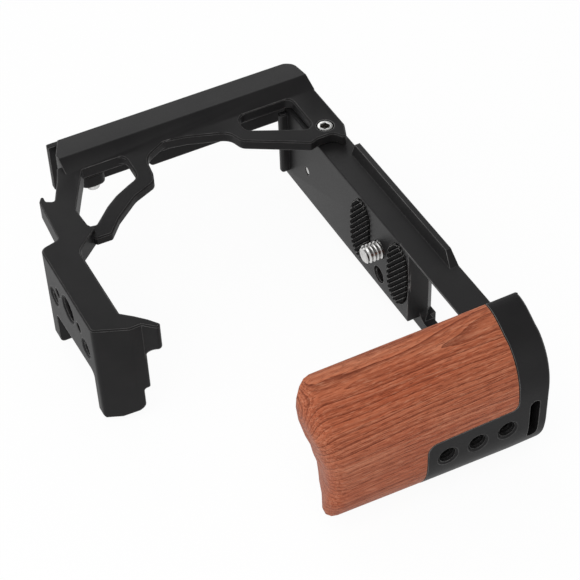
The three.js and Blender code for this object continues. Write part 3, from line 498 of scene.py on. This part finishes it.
# Frame screw: a plated M3 socket screw through the gusset into the base, its head sunk
# in a counterbore with a little room round it.
def socket_screw(name, head, rise, flats, depth, shank, length, face, outwards, finish):
    """A socket-head screw, its head's face at a place and looking outwards."""
    hex_sides = 6
    cuts_a_side = 8
    socket_chamfer = 0.0002
    socket_flare = 1.1
    drill_point_depth = 0.2 * flats
    knurl_cut = 0.00006
    rim = 0.1 * head
    rim_turn = 0.3 * rim
    under_rim = 0.4 * rim
    tip = 0.3 * shank
    shape = bmesh.new()
    key = bmesh.ops.create_circle(
        shape, cap_ends=False, segments=hex_sides, radius=flats / math.sqrt(3))["verts"]
    bmesh.ops.translate(shape, verts=key, vec=(0, 0, -depth))
    bmesh.ops.subdivide_edges(
        shape, edges=shape.edges[:], cuts=cuts_a_side - 1, use_grid_fill=False)
    floor = shape.edges[:]

    def climb(edges, lift, widen):
        grown = bmesh.ops.extrude_edge_only(shape, edges=edges)["geom"]
        corners = [part for part in grown if isinstance(part, bmesh.types.BMVert)]
        bmesh.ops.scale(shape, verts=corners, vec=(widen, widen, 1))
        bmesh.ops.translate(shape, verts=corners, vec=(0, 0, lift))
        return [part for part in grown if isinstance(part, bmesh.types.BMEdge)]

    mouth = climb(climb(floor, depth - socket_chamfer, 1), socket_chamfer, socket_flare)
    ring = bmesh.ops.create_circle(
        shape, cap_ends=False, segments=hex_sides * cuts_a_side, radius=head - rim)["verts"]
    outer = list({edge for vert in ring for edge in vert.link_edges})
    bmesh.ops.bridge_loops(shape, edges=mouth + outer)
    # Two steps round the head's rim; then its side, its lower rim, the flat under it, the
    # shank and the tip.
    steps = (
        (-rim_turn, (head - rim_turn) / (head - rim)),
        (rim_turn - rim, head / (head - rim_turn)),
        (rim + under_rim - rise, 1),
        (-under_rim, (head - under_rim) / head),
        (0, shank / (head - under_rim)),
        (-length, 1),
        (-tip, (shank - tip) / shank),
    )
    band = outer
    for lift, widen in steps:
        band = climb(band, lift, widen)
    bmesh.ops.holes_fill(shape, edges=band, sides=0)
    bottom = bmesh.ops.holes_fill(shape, edges=floor, sides=0)["faces"]
    drill_point = bmesh.ops.poke(shape, faces=bottom)["verts"]
    bmesh.ops.translate(shape, verts=drill_point, vec=(0, 0, -drill_point_depth))
    # Every other face round the head's side is pressed in, as knurling, always the same ones.
    grip_band = [
        face for face in shape.faces
        if abs(face.normal.z) < 0.2 and face.calc_center_median().xy.length > 0.95 * head]
    grip_band.sort(key=lambda face: math.atan2(*face.calc_center_median().xy))
    bmesh.ops.inset_individual(shape, faces=grip_band[::2], thickness=knurl_cut, depth=-knurl_cut)
    bmesh.ops.recalc_face_normals(shape, faces=shape.faces)
    smooth_between(shape, math.radians(34))
    aim = Vector(outwards).to_track_quat("Z", "Y").to_matrix()
    bmesh.ops.rotate(shape, verts=shape.verts, matrix=aim)
    bmesh.ops.translate(shape, verts=shape.verts, vec=face)
    piece = link(name, shape)
    finish.dress(piece)
    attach(piece, "cage")
    return piece


plated_socket = nickel("nickel_plated_socket", recess=0.0026)
frame_screw = socket_screw(
    "frame_screw_socket", head=0.00248, rise=0.0024, flats=0.0029, depth=0.0019,
    shank=0.0015, length=0.0088, face=(0.04345, -0.0137, 0.0059), outwards=(0, -1, 0),
    finish=plated_socket)
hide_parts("frame_screw")

# Lug screw: a shorter and thinner screw of the same plated steel, driven into the lug
# inside the beam, with its head against the lug.
lug_screw = socket_screw(
    "lug_screw_socket", head=0.0022, rise=0.0016, flats=0.0018, depth=0.0009,
    shank=0.00125, length=0.0058, face=(0.07465, 0.0059, 0.0757), outwards=(0, 1, 0),
    finish=plated_socket)
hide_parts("lug_screw")

# Grip: one piece of oiled reddish hardwood, shaped and sanded, its grain along the hand.
# Growth rings, in millimetres, cross the front in long arches and the side in close lines.
earlywood = (0.46, 0.145, 0.070, 1)
heartwood = (0.39, 0.096, 0.041, 1)
latewood = (0.095, 0.014, 0.005, 1)
fine_latewood = (0.17, 0.030, 0.011, 1)
pale_fibre = (0.58, 0.25, 0.145, 1)
dark_fibre = (0.14, 0.024, 0.009, 1)
dry_pore = (0.64, 0.30, 0.18, 1)
oiled_pore = (0.075, 0.012, 0.005, 1)
rim_painted_highlight = (0.66, 0.32, 0.20, 1)
ring_centre = (63.5, 19, 0)
ring_scale = (1000, 1000, 30)
ring_width = 1.25
fine_ring_width = 0.47
slow_swing = 7
wave_swing = 1.9
quick_swing = 0.42
wood = Finish("oiled_rosewood", Metallic=0.0, Specular_IOR_Level=0.22)
slow = wood.noise(wood.place((1, 1, 0.22)), scale=36)
wave = wood.noise(wood.place((1, 1, 0.20)), scale=120)
quick = wood.noise(wood.place((1, 1, 0.16)), scale=420)
from_centre = wood.place(ring_scale, move=ring_centre)
radius = wood.node("ShaderNodeVectorMath", {"operation": "LENGTH"}, {0: from_centre}, "Value")
growth = radius + slow * slow_swing + wave * wave_swing + quick * quick_swing
ring = growth / ring_width
late = ring.math("FRACT") ** 4
year = wood.node(
    "ShaderNodeTexWhiteNoise", {"noise_dimensions": "1D"}, {"W": ring.math("FLOOR")}, "Value")
fine_ring = (growth / fine_ring_width).math("FRACT") ** 2
streak = wood.noise(wood.place((1, 1, 0.02), turn=(0.02, 0.03, 0)), scale=1300)
patch = wood.noise(wood.place((1, 1, 0.35)), scale=90, detail=3)
pores = wood.noise(wood.place((1, 1, 0.10), turn=(-0.02, 0.02, 0)), scale=3600)
pits = pores.spread(0.57, 0.67)
tone = wood.mix(patch.spread(0.3, 0.7), earlywood, heartwood)
tone = wood.mix(streak.spread(0.32, 0.47, 1, 0) * 0.4, tone, pale_fibre)
tone = wood.mix(late * year.spread(0, 1, 0.45, 1.0), tone, latewood)
tone = wood.mix(fine_ring * year.spread(0, 1, 0.2, 0.8), tone, fine_latewood)
tone = wood.mix(streak.spread(0.53, 0.70) * 0.4, tone, dark_fibre)
tone = wood.mix(pores.spread(0.30, 0.44, 1, 0) * 0.35, tone, dry_pore)
tone = wood.mix(pits * 0.5, tone, oiled_pore)
rounded = wood.round_edges(0.0005)
# The grip's rounded edges are painted paler here, as a highlight.
rim = wood.edges(rounded, 0.02, 0.25)
relief = late * -0.3 - pits
wood.feed("Base Color", wood.mix(rim * 0.55, tone, rim_painted_highlight))
wood.feed("Roughness", pits.spread(0, 1, 0.50, 0.68))
wood.feed("Normal", wood.bump(relief, strength=0.45, distance=0.00009, normal=rounded))
shape = merged_copy("wood_grip")
smooth_between(shape, math.radians(50))
grip = link("wood_grip_shaped", shape)
wood.dress(grip)
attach(grip, "cage")
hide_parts("wood_grip")

# Grip screws and inserts: two blackened socket screws go up through the foot into turned
# brass inserts pressed into the wood.
brass_clean = (0.62, 0.43, 0.17, 1)
brass_tarnished = (0.40, 0.26, 0.10, 1)
grip_screw_across = -0.06685
grip_screw_under = 0.0003
brass = Finish("turned_brass", Metallic=1.0)
tarnish = brass.noise(brass.place(), scale=400, detail=3)
turned = brass.noise(brass.place((1, 1, 3)), scale=2500)
brass.feed("Base Color", brass.mix(tarnish.spread(0.3, 0.7), brass_clean, brass_tarnished))
brass.feed("Roughness", tarnish.spread(0.3, 0.7, 0.24, 0.40))
brass.feed("Normal", brass.bump(turned, strength=0.2, distance=0.00004))
for end, front in (("rear", 0.0123), ("front", -0.0117)):
    grip_screw = socket_screw(
        f"grip_screw_{end}_socket", head=0.00275, rise=0.0024, flats=0.0025, depth=0.0014,
        shank=0.0015, length=0.0125, face=(grip_screw_across, front, grip_screw_under),
        outwards=(0, 0, -1), finish=oxide)
    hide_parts(f"grip_screw_{end}")
    brass.dress(nodes[f"grip_insert_{end}"])

# Studio: a white table under the cage's back, seen as white by the camera and in
# reflections, where it dims beyond the grip. It keeps a faint shadow, and it is clear
# from below.
table_clearance = 0.0004
table_reach = 3
table_shown = 0.94
dimmest_across = -0.11
full_across = -0.01
table_y = cad_high.y + table_clearance
shape = bmesh.new()
bmesh.ops.create_grid(shape, x_segments=1, y_segments=1, size=table_reach)
bmesh.ops.rotate(shape, verts=shape.verts, matrix=Matrix.Rotation(math.pi / 2, 3, "X"))
bmesh.ops.translate(shape, verts=shape.verts, vec=(0, table_y, 0))
table = link("table", shape)
full_white = (1, 1, 1, 1)
dim_white = (0.55, 0.55, 0.55, 1)
white = Finish("table_white", Roughness=0.9, Specular_IOR_Level=0.0, Base_Color=(0.9, 0.9, 0.9, 1))
ray = white.node("ShaderNodeLightPath", {}, {}, "Is Camera Ray")
shown = (ray + white.beside(ray, "Is Glossy Ray")).math("MINIMUM", 1) * table_shown
lit = Line(white, white.shader.outputs[0])
across = white.beside(white.node("ShaderNodeSeparateXYZ", {}, {0: white.place()}), "X")
mirrored = white.mix(across.spread(dimmest_across, full_across), dim_white, full_white)
glow_colour = white.mix(ray, mirrored, full_white)
glow = white.node("ShaderNodeEmission", {}, {"Color": glow_colour, "Strength": 1.0})
clear = white.node("ShaderNodeBsdfTransparent", {}, {})
under = white.node("ShaderNodeNewGeometry", {}, {}, "Backfacing")
above = white.node("ShaderNodeMixShader", {}, {0: shown, 1: lit, 2: glow})
both = white.node("ShaderNodeMixShader", {}, {0: under, 1: above, 2: clear})
output = white.node_tree.nodes["Material Output"]
white.node_tree.links.new(both.socket, output.inputs["Surface"])
white.dress(table)

# Surroundings: white to the camera and half as bright on the cage. In reflections they are
# white up to the horizon and dim towards a dark grey overhead.
plain_level = 0.50
overhead_level = 0.30
studio = bpy.data.worlds.new("studio")
scene.world = studio
studio.use_nodes = True
room = Tree(studio.node_tree)
towards = room.node("ShaderNodeTexCoord", {}, {}, "Generated")
height = room.beside(room.node("ShaderNodeSeparateXYZ", {}, {0: towards}), "Y")
ray = room.node("ShaderNodeLightPath", {}, {}, "Is Camera Ray")
mirrored = height.spread(-0.75, -0.1, overhead_level, 1.0)
seen_level = ray * (1 - plain_level) + plain_level
glossy = room.beside(ray, "Is Glossy Ray").math("MAXIMUM", room.beside(ray, "Is Transmission Ray"))
level = seen_level * (1 - glossy) + mirrored * glossy
backdrop = studio.node_tree.nodes["Background"]
backdrop.inputs["Color"].default_value = full_white
studio.node_tree.links.new(level.socket, backdrop.inputs["Strength"])
cage_middle = Vector((0, 0, 0.05))


def soft_box(name, away, size, power, glints):
    """A square lamp that looks at the cage, and may show in its gloss."""
    lamp_data = bpy.data.lights.new(name, "AREA")
    lamp_data.shape = "SQUARE"
    lamp_data.size = size
    lamp_data.energy = power
    lamp = bpy.data.objects.new(name, lamp_data)
    scene.collection.objects.link(lamp)
    lamp.visible_glossy = glints
    lamp.location = cage_middle + Vector(away)
    lamp.rotation_mode = "QUATERNION"
    lamp.rotation_quaternion = Vector(away).to_track_quat("Z", "Y")


soft_box("back_box", away=(0.72, -0.52, -0.10), size=0.6, power=1.45, glints=True)
soft_box("front_box", away=(-0.42, -0.75, 0.32), size=0.7, power=4.6, glints=False)
soft_box("left_box", away=(0.15, -0.35, 0.80), size=0.5, power=1.4, glints=True)
